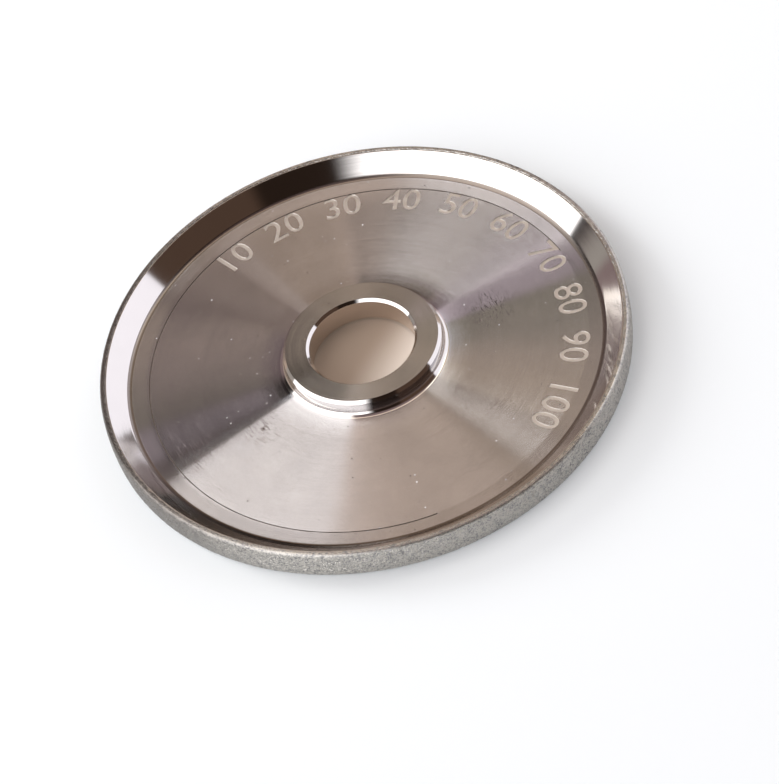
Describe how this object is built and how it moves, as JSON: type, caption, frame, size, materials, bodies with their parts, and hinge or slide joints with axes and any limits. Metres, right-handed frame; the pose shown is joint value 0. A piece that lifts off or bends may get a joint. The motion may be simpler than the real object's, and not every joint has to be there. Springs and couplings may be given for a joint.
{
  "type": "sharpening wheel",
  "caption": "Flat round sharpening wheel: crowned abrasive rim, polished bevel down to a thin recessed web, and a raised boss with a plain through bore.",
  "frame": {"origin": "centre of the bore in the plane of the flat back seat, on which the wheel lies", "axes": "+Z along the wheel's axis, out of the recessed front; X and Y across the flat seat"},
  "size_m": [0.1, 0.1, 0.006],
  "materials": {
    "steel": "fine turned and nickel plated, polished bevel and boss edges",
    "abrasive": "plated superabrasive grain, fine and rough"
  },
  "bodies": {
    "root": {"wheel_body": "steel", "abrasive_coat": "abrasive"}
  },
  "joints": []
}
